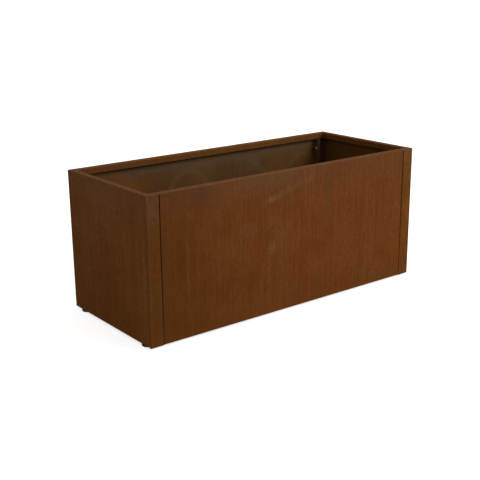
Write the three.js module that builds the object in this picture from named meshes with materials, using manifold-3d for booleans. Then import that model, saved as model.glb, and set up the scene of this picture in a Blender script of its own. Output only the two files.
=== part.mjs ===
// Planter box in weathering steel. Four folded panels are bolted together at upright seams, a drained
// floor plate lies on hat-section supports, and four levelling feet screw into nuts in the end panels.
//
// Millimetres. The origin is on the ground under the middle of the box. +X runs along the length,
// -Y is the front and +Z is up.

import * as THREE from 'three';
import { mergeVertices } from 'three/addons/utils/BufferGeometryUtils.js';
import Module from 'manifold-3d';

const wasm = await Module();
wasm.setup();

// ---- driving dimensions ----

const length = 1200;
const width = 500;
const boxHeight = 500;
const groundGap = 8; // from the ground to the underside of the steel

const sheet = 2;
const innerBend = 1.5; // inside radius of every fold
const gap = 0.3; // between pieces that touch
const relief = 1; // notch that frees a fold from its neighbour

const endWrap = 51; // how far an end panel wraps onto the long faces
const seamGap = 0.4; // between the folds of two panels at a seam
const rimWidth = 25;
const lipDepth = 22;
const legDepth = 35; // upright return leg at a seam, from the outer face
const longFlange = 30; // bottom flange of a long panel
const endFlange = 50; // bottom flange of an end panel

const boltDiameter = 8;
const boltLength = 16; // under the head
const boltHeadWidth = 13; // across flats, as is the nut
const boltHeadHeight = 5.3;
const boltNutHeight = 6.5;
const boltClearance = 0.5; // round a bolt in its hole
const washerDiameter = 24;
const washerThickness = 2;
const boltsPerSeam = 3;
const boltEndDistance = 65; // from the top and bottom of the box to the nearest bolt

const floorClearance = 2; // round the floor plate and at the ends of its supports
const supportCount = 4;
const supportInset = 100; // from an end face to the nearest support
const supportTop = 40; // flat on which the floor lies
const supportHeight = 15;
const supportBrim = 18;
const drainDiameter = 12;
const drainPitch = 120;
const drainColumns = 2; // between two supports
const drainRows = 3;

const padDiameter = 40;
const padBase = 2.2; // floor of the pad's socket
const padLip = 2.3; // thickness of the lip that holds the stud's foot in the socket
const padRound = 2; // rounding of the pad's edges
const footEndInset = 20; // from an end face to a foot's centre
const footSideInset = 50; // from a long face to a foot's centre
const footTravel = 15;
const studDiameter = 10;
const studFootDiameter = 14;
const studSocketWidth = 5; // across flats of the key socket in the stud's top
const studSocketDepth = 6;
const footNutWidth = 17; // across flats
const footNutHeight = 8;
const footClearance = 1; // round a foot's stud in the steel
const keyClearance = 1; // round a foot's nut, in the floor plate's access hole

const bendSteps = 3; // flats round a fold
const roundSteps = 12; // sides of a bolt, a stud or a hole
const wideSteps = 24; // sides of a washer or a pad
const mergeDistance = 1e-4; // vertices this near are one

// ---- sizes that follow ----

const endFace = length / 2;
const longFace = width / 2;
const bottom = groundGap;
const top = groundGap + boxHeight;
const beyond = 2 * length; // far enough out for a cut that clears the box
const sides = [-1, 1];
const outerBend = innerBend + sheet;
const wrapEdge = endFace - endWrap; // the end panel's side of a seam
const longEdge = wrapEdge - seamGap; // the long panel's side of a seam
const foldBottom = bottom + outerBend + relief;
const foldTop = top - outerBend - relief;
const flangeTop = bottom + sheet;
const boltHole = boltDiameter + 2 * boltClearance;
const boltInset = Math.max(legDepth / 2, outerBend + relief + washerDiameter / 2); // from the long face
const footHole = studDiameter + 2 * footClearance;
const supportBottom = flangeTop + gap;
const floorBottom = supportBottom + supportHeight + gap;
const footCentreX = endFace - Math.max(footEndInset, padDiameter / 2);
const footCentreY = longFace - footSideInset;
const padHeight = groundGap - gap;
const padSocketTop = padHeight - padLip;
const footNutBottom = flangeTop + gap;
const studTop = footNutBottom + footNutHeight + footTravel + relief;

// ---- outlines ----

const point = (x, y) => new THREE.Vector2(x, y);

const leftOf = (direction) => point(-direction.y, direction.x);

// The directions in which a line of points arrives at and leaves corner i.
function directionsAt(corners, i) {
  const count = corners.length;
  const arriving = corners[i].clone().sub(corners[(i + count - 1) % count]).normalize();
  const leaving = corners[(i + 1) % count].clone().sub(corners[i]).normalize();
  return [arriving, leaving];
}

// An arc of the given radius that rounds corner i.
function roundedCorner(corners, i, radius) {
  const [arriving, leaving] = directionsAt(corners, i);
  const turn = Math.atan2(arriving.cross(leaving), arriving.dot(leaving));
  const setback = radius * Math.tan(Math.abs(turn) / 2);
  const start = corners[i].clone().addScaledVector(arriving, -setback);
  const centre = start.clone().addScaledVector(leftOf(arriving), Math.sign(turn) * radius);
  const arc = [];
  for (let step = 0; step <= bendSteps; step += 1) {
    arc.push(start.clone().rotateAround(centre, (turn * step) / bendSteps));
  }
  return arc;
}

// The cross-section of a folded sheet that lies to the left of a line along its face.
function foldedSection(line) {
  const last = line.length - 1;
  const offset = line.map((corner, i) => {
    const [arriving, leaving] = directionsAt(line, i);
    const before = leftOf(i === 0 ? leaving : arriving);
    const after = leftOf(i === last ? arriving : leaving);
    const mitre = before.clone().add(after).divideScalar(1 + before.dot(after));
    return corner.clone().addScaledVector(mitre, sheet);
  });
  const face = [line[0]];
  const back = [offset[0]];
  for (let i = 1; i < last; i += 1) {
    const [arriving, leaving] = directionsAt(line, i);
    const turnsLeft = arriving.cross(leaving) > 0;
    face.push(...roundedCorner(line, i, turnsLeft ? outerBend : innerBend));
    back.push(...roundedCorner(offset, i, turnsLeft ? innerBend : outerBend));
  }
  face.push(line[last]);
  back.push(offset[last]);
  return [...face, ...back.reverse()];
}

// Evenly spaced values from first to last.
function evenly(count, first, last) {
  return Array.from({ length: count }, (_, i) => first + (i * (last - first)) / (count - 1));
}

function rectangle(x0, y0, x1, y1) {
  return [point(x0, y0), point(x1, y0), point(x1, y1), point(x0, y1)];
}

// ---- solids ----

function solid(geometry) {
  geometry.deleteAttribute('normal');
  geometry.deleteAttribute('uv');
  const { attributes, index } = mergeVertices(geometry, mergeDistance);
  const mesh = new wasm.Mesh({
    numProp: 3,
    vertProperties: Float32Array.from(attributes.position.array),
    triVerts: Uint32Array.from(index.array),
  });
  return new wasm.Manifold(mesh);
}

function geometryOf(manifold) {
  const { vertProperties, triVerts } = manifold.getMesh();
  const geometry = new THREE.BufferGeometry();
  geometry.setAttribute('position', new THREE.BufferAttribute(vertProperties, 3));
  geometry.setIndex(new THREE.BufferAttribute(triVerts, 1));
  geometry.computeVertexNormals();
  return geometry;
}

function extrusion(outline, depth, holes = []) {
  const shape = new THREE.Shape(outline);
  for (const { x, y, diameter } of holes) {
    shape.holes.push(new THREE.Path().absarc(x, y, diameter / 2, 0, 2 * Math.PI));
  }
  return new THREE.ExtrudeGeometry(shape, { depth, bevelEnabled: false, curveSegments: roundSteps / 2 });
}

// An outline in x and y, raised from low to high.
function alongZ(outline, low, high, holes) {
  return solid(extrusion(outline, high - low, holes).translate(0, 0, low));
}

const axisX = new THREE.Vector3(1, 0, 0);
const axisY = new THREE.Vector3(0, 1, 0);
const axisZ = new THREE.Vector3(0, 0, 1);

// An outline in y and z, drawn out along x.
function alongX(outline, low, high) {
  const basis = new THREE.Matrix4().makeBasis(axisY, axisZ, axisX);
  return solid(extrusion(outline, high - low).applyMatrix4(basis).translate(low, 0, 0));
}

// An outline in x and z, drawn out along y.
function alongY(outline, low, high) {
  const basis = new THREE.Matrix4().makeBasis(axisX, axisZ, axisY.clone().negate());
  return solid(extrusion(outline, high - low).applyMatrix4(basis).translate(0, high, 0));
}

function block(x0, x1, y0, y1, z0, z1) {
  return alongZ(rectangle(x0, y0, x1, y1), z0, z1);
}

// A round bar or a prism along x, from low to high.
function barAlongX(diameter, low, high, flats = roundSteps) {
  const bar = new THREE.CylinderGeometry(diameter / 2, diameter / 2, high - low, flats);
  return solid(bar.rotateZ(Math.PI / 2).translate((low + high) / 2, 0, 0));
}

// A round bar or a prism along z, from low to high.
function barAlongZ(diameter, low, high, flats = roundSteps) {
  const bar = new THREE.CylinderGeometry(diameter / 2, diameter / 2, high - low, flats);
  return solid(bar.rotateX(Math.PI / 2).translate(0, 0, (low + high) / 2));
}

const hexagon = 6;
const acrossCorners = (acrossFlats) => acrossFlats / Math.cos(Math.PI / hexagon);

// ---- rim ----

// The folded section that the four panels share, carried once round the box with mitred corners.
function rimRing() {
  const section = foldedSection([
    point(rimWidth, top - lipDepth),
    point(rimWidth, top),
    point(0, top),
    point(0, foldTop - relief),
  ]);
  const corners = [[-1, -1], [1, -1], [1, 1], [-1, 1]];
  const count = section.length;
  const positions = [];
  const index = [];
  corners.forEach(([endSign, sideSign], corner) => {
    const here = corner * count;
    const there = ((corner + 1) % corners.length) * count;
    section.forEach(({ x: inward, y: level }, i) => {
      const next = (i + 1) % count;
      positions.push(endSign * (endFace - inward), sideSign * (longFace - inward), level);
      index.push(here + i, there + next, there + i);
      index.push(here + i, here + next, there + next);
    });
  });
  const ring = new THREE.BufferGeometry();
  ring.setAttribute('position', new THREE.Float32BufferAttribute(positions, 3));
  ring.setIndex(index);
  const square = rectangle(-endFace, -longFace, endFace, longFace);
  const plan = square.flatMap((corner, i) => roundedCorner(square, i, outerBend));
  return solid(ring).intersect(alongZ(plan, bottom, top + relief));
}

// ---- panels ----

const boltHeights = evenly(boltsPerSeam, bottom + boltEndDistance, top - boltEndDistance);

// Notches a wall's return leg round the lip, and drills it for the seam bolts. middle is the x of the leg's
// middle plane, and side is -1 at the front and 1 at the back.
function finishLeg(wall, middle, side) {
  const x0 = middle - sheet / 2 - relief;
  const x1 = middle + sheet / 2 + relief;
  const freeEdge = side * (longFace - legDepth - relief);
  const lipFace = side * (longFace - rimWidth + sheet + relief);
  let finished = wall.subtract(block(x0, x1, freeEdge, lipFace, top - lipDepth - relief, top));
  for (const height of boltHeights) {
    const hole = barAlongX(boltHole, x0, x1).translate(0, side * (longFace - boltInset), height);
    finished = finished.subtract(hole);
  }
  return finished;
}

// The space beside a seam that the rim and the flange leave to the upright fold.
function seamRelief(edge, side) {
  const inside = edge - Math.sign(edge) * outerBend;
  const outside = edge + Math.sign(edge) * relief;
  const y0 = side * (longFace + relief);
  const y1 = side * (longFace - outerBend);
  return block(inside, outside, y0, y1, bottom + outerBend, top - outerBend);
}

function frontPanel(rim) {
  let wall = alongZ(foldedSection([
    point(-longEdge, -longFace + legDepth),
    point(-longEdge, -longFace),
    point(longEdge, -longFace),
    point(longEdge, -longFace + legDepth),
  ]), foldBottom, foldTop);
  const flange = alongX(foldedSection([
    point(-longFace, foldBottom + relief),
    point(-longFace, bottom),
    point(-longFace + longFlange, bottom),
  ]), -longEdge, longEdge);
  const ownRim = rim.intersect(block(-longEdge, longEdge, -beyond, 0, 0, beyond));
  let edges = ownRim.add(flange);
  for (const end of sides) {
    wall = finishLeg(wall, end * (longEdge - sheet / 2), -1);
    edges = edges.subtract(seamRelief(end * longEdge, -1));
  }
  return edges.add(wall);
}

function leftEndPanel(rim) {
  let wall = alongZ(foldedSection([
    point(-wrapEdge, longFace - legDepth),
    point(-wrapEdge, longFace),
    point(-endFace, longFace),
    point(-endFace, -longFace),
    point(-wrapEdge, -longFace),
    point(-wrapEdge, -longFace + legDepth),
  ]), foldBottom, foldTop);
  const lowerWall = alongZ(foldedSection([
    point(-wrapEdge, longFace),
    point(-endFace, longFace),
    point(-endFace, -longFace),
    point(-wrapEdge, -longFace),
  ]), bottom, foldBottom + relief);
  const flangeEnd = longFace - outerBend;
  const flangeSpace = block(-beyond, -endFace + outerBend, -flangeEnd, flangeEnd, 0, beyond);
  let flange = alongY(foldedSection([
    point(-endFace, foldBottom + relief),
    point(-endFace, bottom),
    point(-endFace + endFlange, bottom),
  ]), -flangeEnd + relief, flangeEnd - relief);
  const ownRim = rim.intersect(block(-beyond, -wrapEdge, -beyond, beyond, 0, beyond));
  let edges = ownRim.add(lowerWall.subtract(flangeSpace));
  for (const side of sides) {
    wall = finishLeg(wall, -wrapEdge - sheet / 2, side);
    edges = edges.subtract(seamRelief(-wrapEdge, side));
    const hole = barAlongZ(footHole, bottom - relief, flangeTop + relief);
    flange = flange.subtract(hole.translate(-footCentreX, side * footCentreY, 0));
  }
  return edges.add(wall).add(flange);
}

// ---- floor ----

const supportPlaces = evenly(supportCount, -endFace + supportInset, endFace - supportInset);

function floorSupport() {
  const half = supportTop / 2;
  const reach = longFace - sheet - floorClearance;
  return alongY(foldedSection([
    point(-half - supportBrim, 0),
    point(-half + sheet, 0),
    point(-half + sheet, supportHeight - sheet),
    point(half - sheet, supportHeight - sheet),
    point(half - sheet, 0),
    point(half + supportBrim, 0),
  ]), -reach, reach);
}

function drainHoles() {
  const columns = ((drainColumns - 1) * drainPitch) / 2;
  const rows = ((drainRows - 1) * drainPitch) / 2;
  const holes = [];
  for (let bay = 1; bay < supportCount; bay += 1) {
    const middle = (supportPlaces[bay - 1] + supportPlaces[bay]) / 2;
    for (const x of evenly(drainColumns, middle - columns, middle + columns)) {
      for (const y of evenly(drainRows, -rows, rows)) {
        holes.push({ x, y, diameter: drainDiameter });
      }
    }
  }
  return holes;
}

// A plate holed for drainage and over each foot, with its corners cut back from the return legs.
function floorPlate() {
  const endX = endFace - sheet - floorClearance;
  const sideY = longFace - sheet - floorClearance;
  const cutX = longEdge - sheet - floorClearance;
  const cutY = longFace - legDepth - floorClearance;
  const keyHole = acrossCorners(footNutWidth) + 2 * keyClearance;
  const holes = drainHoles();
  for (const end of sides) {
    for (const side of sides) {
      holes.push({ x: end * footCentreX, y: side * footCentreY, diameter: keyHole });
    }
  }
  let plate = alongZ(rectangle(-endX, -sideY, endX, sideY), 0, sheet, holes);
  for (const end of sides) {
    for (const side of sides) {
      const corner = block(end * cutX, end * beyond, side * cutY, side * beyond, -relief, sheet + relief);
      plate = plate.subtract(corner);
    }
  }
  return plate;
}

// ---- seam fasteners, along +x from the head: x = 0 is the inner face of the long panel's leg ----

const washerPlace = -gap - washerThickness;
const headPlace = washerPlace - gap - boltHeadHeight;
const nutPlace = 2 * sheet + seamGap + gap;

function seamBolt() {
  const underHead = headPlace + boltHeadHeight;
  const head = barAlongX(acrossCorners(boltHeadWidth), headPlace, underHead, hexagon);
  return head.add(barAlongX(boltDiameter, headPlace + boltHeadHeight / 2, underHead + boltLength));
}

function seamWasher() {
  const disc = barAlongX(washerDiameter, washerPlace, washerPlace + washerThickness, wideSteps);
  return disc.subtract(barAlongX(boltDiameter + 2 * gap, washerPlace - relief, 0));
}

function seamNut() {
  const nut = barAlongX(acrossCorners(boltHeadWidth), nutPlace, nutPlace + boltNutHeight, hexagon);
  return nut.subtract(barAlongX(boltDiameter + 2 * gap, 0, nutPlace + boltNutHeight + relief));
}

// ---- levelling foot, about its own upright axis ----

// Points round a quarter circle that starts at an angle.
function quarterRound(x, y, radius, from) {
  return new THREE.Path().absarc(x, y, radius, from, from + Math.PI / 2).getPoints(bendSteps);
}

// The pad's socket is wider inside than at its mouth, so that it keeps the stud's foot.
function footPad() {
  const edge = padDiameter / 2;
  const socket = studFootDiameter / 2 + gap;
  const mouth = studDiameter / 2 + 2 * gap;
  const profile = [
    point(0, 0),
    ...quarterRound(edge - padRound, padRound, padRound, -Math.PI / 2),
    ...quarterRound(edge - padRound, padHeight - padRound, padRound, 0),
    point(mouth, padHeight),
    point(mouth, padSocketTop),
    point(socket, padSocketTop),
    point(socket, padBase),
    point(0, padBase),
  ];
  return solid(new THREE.LatheGeometry(profile, wideSteps).rotateX(Math.PI / 2));
}

function footStud() {
  const foot = barAlongZ(studFootDiameter, padBase + gap, padSocketTop - gap);
  const shank = barAlongZ(studDiameter, padBase + 2 * gap, studTop);
  const floor = studTop - studSocketDepth;
  const socket = barAlongZ(acrossCorners(studSocketWidth), floor, studTop + relief, hexagon);
  return foot.add(shank).subtract(socket);
}

function footNut() {
  const high = footNutBottom + footNutHeight;
  const nut = barAlongZ(acrossCorners(footNutWidth), footNutBottom, high, hexagon);
  return nut.subtract(barAlongZ(studDiameter + 2 * gap, bottom, high + relief));
}

// ---- materials ----

const weatheringSteel = new THREE.MeshStandardMaterial({ color: '#6a3f22', roughness: 0.85, metalness: 0.1 });
const innerSteel = new THREE.MeshStandardMaterial({ color: '#4b3220', roughness: 0.9, metalness: 0.1 });
const zincSteel = new THREE.MeshStandardMaterial({ color: '#a39a8c', roughness: 0.4, metalness: 0.9 });
const blackPlastic = new THREE.MeshStandardMaterial({ color: '#161514', roughness: 0.7, metalness: 0 });

// ---- assembly ----

const planter = new THREE.Group();

function addMesh(name, geometry, material, group = planter) {
  const mesh = new THREE.Mesh(geometry, material);
  mesh.name = name;
  group.add(mesh);
  return mesh;
}

const rim = rimRing();
const longPanelGeometry = geometryOf(frontPanel(rim));
const endPanelGeometry = geometryOf(leftEndPanel(rim));
addMesh('front_panel', longPanelGeometry, weatheringSteel);
addMesh('back_panel', longPanelGeometry, weatheringSteel).rotation.z = Math.PI;
addMesh('left_end_panel', endPanelGeometry, weatheringSteel);
addMesh('right_end_panel', endPanelGeometry, weatheringSteel).rotation.z = Math.PI;

const supportGeometry = geometryOf(floorSupport());
supportPlaces.forEach((x, i) => {
  addMesh(`floor_support_${i + 1}`, supportGeometry, innerSteel).position.set(x, 0, supportBottom);
});
addMesh('floor_plate', geometryOf(floorPlate()), innerSteel).position.z = floorBottom;

const boltGeometry = geometryOf(seamBolt());
const washerGeometry = geometryOf(seamWasher());
const boltNutGeometry = geometryOf(seamNut());
const padGeometry = geometryOf(footPad());
const studGeometry = geometryOf(footStud());
const footNutGeometry = geometryOf(footNut());

for (const [endName, end] of [['left', -1], ['right', 1]]) {
  for (const [sideName, side] of [['front', -1], ['back', 1]]) {
    boltHeights.forEach((height, i) => {
      const fastener = new THREE.Group();
      const place = `${sideName}_${endName}_${i + 1}`;
      addMesh(`seam_bolt_${place}`, boltGeometry, zincSteel, fastener);
      addMesh(`seam_washer_${place}`, washerGeometry, zincSteel, fastener);
      addMesh(`seam_nut_${place}`, boltNutGeometry, zincSteel, fastener);
      fastener.rotation.z = end > 0 ? 0 : Math.PI;
      fastener.position.set(end * (longEdge - sheet), side * (longFace - boltInset), height);
      planter.add(fastener);
    });
    const foot = new THREE.Group();
    const place = `${sideName}_${endName}`;
    addMesh(`foot_pad_${place}`, padGeometry, blackPlastic, foot);
    addMesh(`foot_stud_${place}`, studGeometry, zincSteel, foot);
    addMesh(`foot_nut_${place}`, footNutGeometry, weatheringSteel, foot);
    foot.position.set(end * footCentreX, side * footCentreY, 0);
    planter.add(foot);
  }
}

export default planter;
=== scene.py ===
import math
import bmesh
import bpy
from mathutils import Matrix, Vector


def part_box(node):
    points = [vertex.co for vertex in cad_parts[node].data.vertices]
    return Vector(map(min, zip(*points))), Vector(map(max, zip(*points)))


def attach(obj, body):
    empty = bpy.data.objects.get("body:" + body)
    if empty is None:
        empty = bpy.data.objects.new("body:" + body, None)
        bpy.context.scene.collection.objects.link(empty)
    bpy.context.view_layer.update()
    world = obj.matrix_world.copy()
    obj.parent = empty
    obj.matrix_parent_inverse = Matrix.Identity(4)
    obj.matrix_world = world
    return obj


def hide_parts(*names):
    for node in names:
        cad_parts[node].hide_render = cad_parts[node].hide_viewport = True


# Planter box in rusted weathering steel. Folded panels, seam bolts, floor and levelling feet ride on the
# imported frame. Meshes are built in millimetres and brought to metres as each piece is finished.

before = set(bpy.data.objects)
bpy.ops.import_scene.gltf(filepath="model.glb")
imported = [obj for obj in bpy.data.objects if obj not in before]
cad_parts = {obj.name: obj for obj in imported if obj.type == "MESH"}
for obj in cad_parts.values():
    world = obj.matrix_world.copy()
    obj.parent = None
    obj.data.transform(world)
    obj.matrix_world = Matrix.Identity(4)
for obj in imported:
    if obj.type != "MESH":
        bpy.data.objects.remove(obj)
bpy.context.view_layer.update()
scene = bpy.context.scene
scene.view_settings.view_transform = "Standard"
mm = 0.001
along, across, up = 0, 1, 2  # axes by number
sides = (-1, 1)
corners = [f"{face}_{end}" for face in ("front", "back") for end in ("left", "right")]
print("frame loaded:", len(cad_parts), "nodes")


# lowest and highest corner of a node, in millimetres
def boxOf(node):
    low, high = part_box(node)
    return low / mm, high / mm


def middleOf(node):
    low, high = boxOf(node)
    return (low + high) / 2


# a colour written as it looks on a screen, 0 to 255
def tone(*colour):
    seen = [value / 255 for value in colour]
    return (*(value / 12.92 if value < 0.04045 else ((value + 0.055) / 1.055) ** 2.4 for value in seen), 1)


viewpoint = {
    "place": (-1.9674, -2.4787, 1.144),
    "azimuth": -37.814,
    "elevation": 16.634,
    "roll": -0.511,
    "lens": 66.45,
    "sensor": 36,
    "reach": 1000,
}


def makeCamera(view):
    azimuth, elevation, roll = (math.radians(view[key]) for key in ("azimuth", "elevation", "roll"))
    back = Vector((math.sin(azimuth) * math.cos(elevation), -math.cos(azimuth) * math.cos(elevation),
                   math.sin(elevation)))
    right = Vector((math.cos(azimuth), math.sin(azimuth), 0))
    upward = back.cross(right)
    rows = (math.cos(roll) * right + math.sin(roll) * upward,
            math.cos(roll) * upward - math.sin(roll) * right, back)
    camera = bpy.data.objects.new("camera", bpy.data.cameras.new("camera"))
    camera.data.lens = view["lens"]
    camera.data.sensor_width = view["sensor"]
    camera.data.clip_end = view["reach"]
    camera.matrix_world = Matrix.Translation(view["place"]) @ Matrix(rows).transposed().to_4x4()
    scene.collection.objects.link(camera)
    scene.camera = camera


makeCamera(viewpoint)
print("camera placed")


# gives a socket a value, or a link from another socket
def feed(tree, socket, value):
    if isinstance(value, bpy.types.NodeSocket):
        tree.links.new(value, socket)
    else:
        socket.default_value = value


def addNode(tree, kind, inputs=None, **settings):
    node = tree.nodes.new(kind)
    for key, value in settings.items():
        setattr(node, key, value)
    for key, value in (inputs or {}).items():
        feed(tree, node.inputs[key], value)
    return node


def calc(tree, operation, *values):
    return addNode(tree, "ShaderNodeMath", dict(enumerate(values)), operation=operation).outputs[0]


def plus(tree, first, second):
    return calc(tree, "ADD", first, second)


def minus(tree, first, second):
    return calc(tree, "SUBTRACT", first, second)


def absolute(tree, value):
    return calc(tree, "ABSOLUTE", value)


def times(tree, product, *others):
    for value in others:
        product = calc(tree, "MULTIPLY", product, value)
    return product


def vectorCalc(tree, operation, *values):
    return addNode(tree, "ShaderNodeVectorMath", dict(enumerate(values)), operation=operation).outputs[0]


def lengthOf(tree, vector):
    return addNode(tree, "ShaderNodeVectorMath", {0: vector}, operation="LENGTH").outputs["Value"]


def splitUp(tree, vector):
    return addNode(tree, "ShaderNodeSeparateXYZ", {0: vector}).outputs


def pointAt(tree, x=0.0, y=0.0, z=0.0):
    return addNode(tree, "ShaderNodeCombineXYZ", {0: x, 1: y, 2: z}).outputs[0]


# a value mapped from one span to another, held at the ends
def spread(tree, value, low, high, toLow=0.0, toHigh=1.0, smooth=True):
    node = addNode(tree, "ShaderNodeMapRange", {"Value": value, "From Min": low, "From Max": high,
                                                "To Min": toLow, "To Max": toHigh})
    node.interpolation_type = "SMOOTHSTEP" if smooth else "LINEAR"
    return node.outputs[0]


def blendColour(tree, amount, first, second):
    return addNode(tree, "ShaderNodeMix", {0: amount, 6: first, 7: second}, data_type="RGBA").outputs[2]


def noise(tree, vector, scale, detail=2.0, roughness=0.5, distortion=0.0):
    return addNode(tree, "ShaderNodeTexNoise", {"Vector": vector, "Scale": scale, "Detail": detail,
                                                "Roughness": roughness, "Distortion": distortion}).outputs[0]


# an empty tree and the sockets given to it; an input is described by its first value, or by its kind
# where it has none
def newTree(name, inputs, outputs, kind="ShaderNodeTree"):
    tree = bpy.data.node_groups.new(name, kind)
    kinds = {float: "Float", int: "Int", tuple: "Vector"}
    for label, value in inputs.items():
        socketKind = kinds.get(type(value), value)
        socket = tree.interface.new_socket(label, in_out="INPUT", socket_type="NodeSocket" + socketKind)
        if value != socketKind:
            socket.default_value = value
    for label, socketKind in outputs.items():
        tree.interface.new_socket(label, in_out="OUTPUT", socket_type="NodeSocket" + socketKind)
    return tree, tree.nodes.new("NodeGroupInput").outputs


# a group that works out values, or one mask, from a place
def newEffect(name, *outputs, **inputs):
    return newTree(name, {"Vector": "Vector", **inputs}, dict.fromkeys(outputs or ["Mask"], "Float"))


# brings the results out of a tree
def withResult(tree, **values):
    addNode(tree, "NodeGroupOutput", values)
    return tree


# Effects that several finishes share.

# upright streaks that hang down the sheet, with gaps in them
def makeStreaks():
    tree, given = newEffect("rustStreaks", PerMetre=120.0, Drop=0.04, Breaks=0.5)
    fall = times(tree, given["PerMetre"], given["Drop"])
    scale = pointAt(tree, given["PerMetre"], given["PerMetre"], fall)
    lines = noise(tree, vectorCalc(tree, "MULTIPLY", given["Vector"], scale), 1.0, 3.0, 0.62)
    gaps = noise(tree, given["Vector"], 9.0, 3.0, 0.6)
    broken = times(tree, given["Breaks"], minus(tree, gaps, 0.5))
    return withResult(tree, Mask=spread(tree, plus(tree, lines, broken), 0.32, 0.68))


# soft patches of weathering, drawn out downwards by Tall
def makeClouds():
    tree, given = newEffect("rustClouds", Scale=5.0, Tall=1.0, Low=0.38, High=0.62)
    squeeze = pointAt(tree, 1.0, 1.0, calc(tree, "DIVIDE", 1.0, given["Tall"]))
    drawn = vectorCalc(tree, "MULTIPLY", given["Vector"], squeeze)
    patches = noise(tree, drawn, given["Scale"], 4.0, 0.55, 0.4)
    return withResult(tree, Mask=spread(tree, patches, given["Low"], given["High"]))


# the grain of the rust itself, with pits in it
def makeGrit():
    tree, given = newEffect("rustGrit", "Mask", "Height", Scale=500.0)
    grains = noise(tree, given["Vector"], given["Scale"], 4.0, 0.7)
    cells = addNode(tree, "ShaderNodeTexVoronoi", {
        "Vector": given["Vector"], "Scale": times(tree, given["Scale"], 0.5)}).outputs["Distance"]
    pits = spread(tree, cells, 0.05, 0.3)
    return withResult(tree, Mask=spread(tree, grains, 0.35, 0.7), Height=times(tree, grains, pits))


# where water leaves the sheet: dull under the rim, warm above the bottom edge; a painted sheen along the
# rim's top
# on the inner walls the band under the rim is lighter, partly painted light against the shade the rim casts
def makeEdgeBands():
    tree, given = newEffect("edgeBands", "Upper", "Lower", "Rim", Bottom=0.008, Top=0.508, Reach=0.03)
    height = splitUp(tree, given["Vector"])[2]
    wave = calc(tree, "MULTIPLY_ADD", noise(tree, given["Vector"], 12.0, 4.0, 0.6), 2.0, -1.0)
    fromTop = minus(tree, given["Top"], height)
    fromBottom = minus(tree, height, given["Bottom"])
    topReach = times(tree, given["Reach"], 4.0)
    topEnd = calc(tree, "MULTIPLY_ADD", wave, topReach, topReach)
    bottomEnd = calc(tree, "MULTIPLY_ADD", wave, given["Reach"], given["Reach"])
    return withResult(tree, Upper=spread(tree, fromTop, topEnd, 0.0),
                      Lower=spread(tree, fromBottom, bottomEnd, 0.0),
                      Rim=spread(tree, fromTop, 0.0035, 0.0005))


# a faint ring or sweep left on an upright face; From and To are measured from its centre
def makeRingMark():
    tree, given = newEffect("ringMark", Centre=(0, 0, 0), Radius=0.09, Width=0.016, From=-1.0, To=1.0)
    offset = vectorCalc(tree, "SUBTRACT", given["Vector"], given["Centre"])
    reach = lengthOf(tree, vectorCalc(tree, "MULTIPLY", offset, (1, 0, 1)))
    sway = times(tree, minus(tree, noise(tree, given["Vector"], 14.0), 0.5), 0.016)
    miss = absolute(tree, minus(tree, plus(tree, reach, sway), given["Radius"]))
    ring = spread(tree, miss, given["Width"], 0.0)
    x, y, _ = splitUp(tree, offset)
    fade = 0.05
    start = spread(tree, minus(tree, x, given["From"]), 0.0, fade)
    end = spread(tree, minus(tree, given["To"], x), 0.0, fade)
    face = spread(tree, absolute(tree, y), 0.012, 0.008)
    patchy = spread(tree, noise(tree, given["Vector"], 12.0, 3.0), 0.2, 0.6, 0.35)
    return withResult(tree, Mask=times(tree, ring, times(tree, start, end, face), patchy))


# one soft patch, from a spot to a long streak, by how far it reaches each way
def makePatch():
    tree, given = newEffect("softPatch", Centre=(0, 0, 0), Reach=(0.1, 0.1, 0.1), Torn=0.6)
    offset = vectorCalc(tree, "SUBTRACT", given["Vector"], given["Centre"])
    away = lengthOf(tree, vectorCalc(tree, "DIVIDE", offset, given["Reach"]))
    ragged = minus(tree, noise(tree, given["Vector"], 30.0, 3.0), 0.5)
    torn = calc(tree, "MULTIPLY_ADD", ragged, given["Torn"], away)
    return withResult(tree, Mask=spread(tree, torn, 1.0, 0.0))


# grime and painted shade in the groove between two folds, at plus and minus Edge, fading towards the bottom
def makeSeamGrimeAndShade():
    tree, given = newEffect("seamGrimeAndShade", Edge=0.5488, Face=0.25, Top=0.504)
    x, y, z = splitUp(tree, given["Vector"])
    beside = absolute(tree, minus(tree, absolute(tree, x), given["Edge"]))
    depth = minus(tree, given["Face"], absolute(tree, y))
    groove = times(tree, spread(tree, depth, 0.0001, 0.0009), spread(tree, depth, 0.0045, 0.0035))
    near = times(tree, spread(tree, beside, 0.0036, 0.0014), groove)
    kept = times(tree, spread(tree, z, 0.0, 0.3), calc(tree, "LESS_THAN", z, given["Top"]))
    return withResult(tree, Mask=times(tree, near, kept))


# the welded and ground mitre across each corner of the rim
def makeMitre():
    tree, given = newEffect("rimMitre", "Line", "Ground", HalfLength=0.6, HalfWidth=0.25, Top=0.505)
    x, y, z = splitUp(tree, given["Vector"])
    inX = minus(tree, given["HalfLength"], absolute(tree, x))
    inY = minus(tree, given["HalfWidth"], absolute(tree, y))
    ragged = times(tree, noise(tree, given["Vector"], 300.0), 0.0012)
    miss = plus(tree, absolute(tree, minus(tree, inX, inY)), ragged)
    onTop = calc(tree, "GREATER_THAN", z, given["Top"])
    return withResult(tree, Line=times(tree, spread(tree, miss, 0.0014, 0.0008), onTop),
                      Ground=times(tree, spread(tree, miss, 0.008, 0.003), onTop))


# dust and dried splashes, thicker where a face looks up
def makeDust():
    tree, given = newEffect("dust", Normal="Vector", Scale=60.0, Amount=0.5)
    settled = spread(tree, splitUp(tree, given["Normal"])[2], 0.1, 0.9, 0.1, 1.0)
    spots = spread(tree, noise(tree, given["Vector"], given["Scale"], 5.0, 0.65), 0.4, 0.7)
    return withResult(tree, Mask=times(tree, spots, settled, given["Amount"]))


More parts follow.
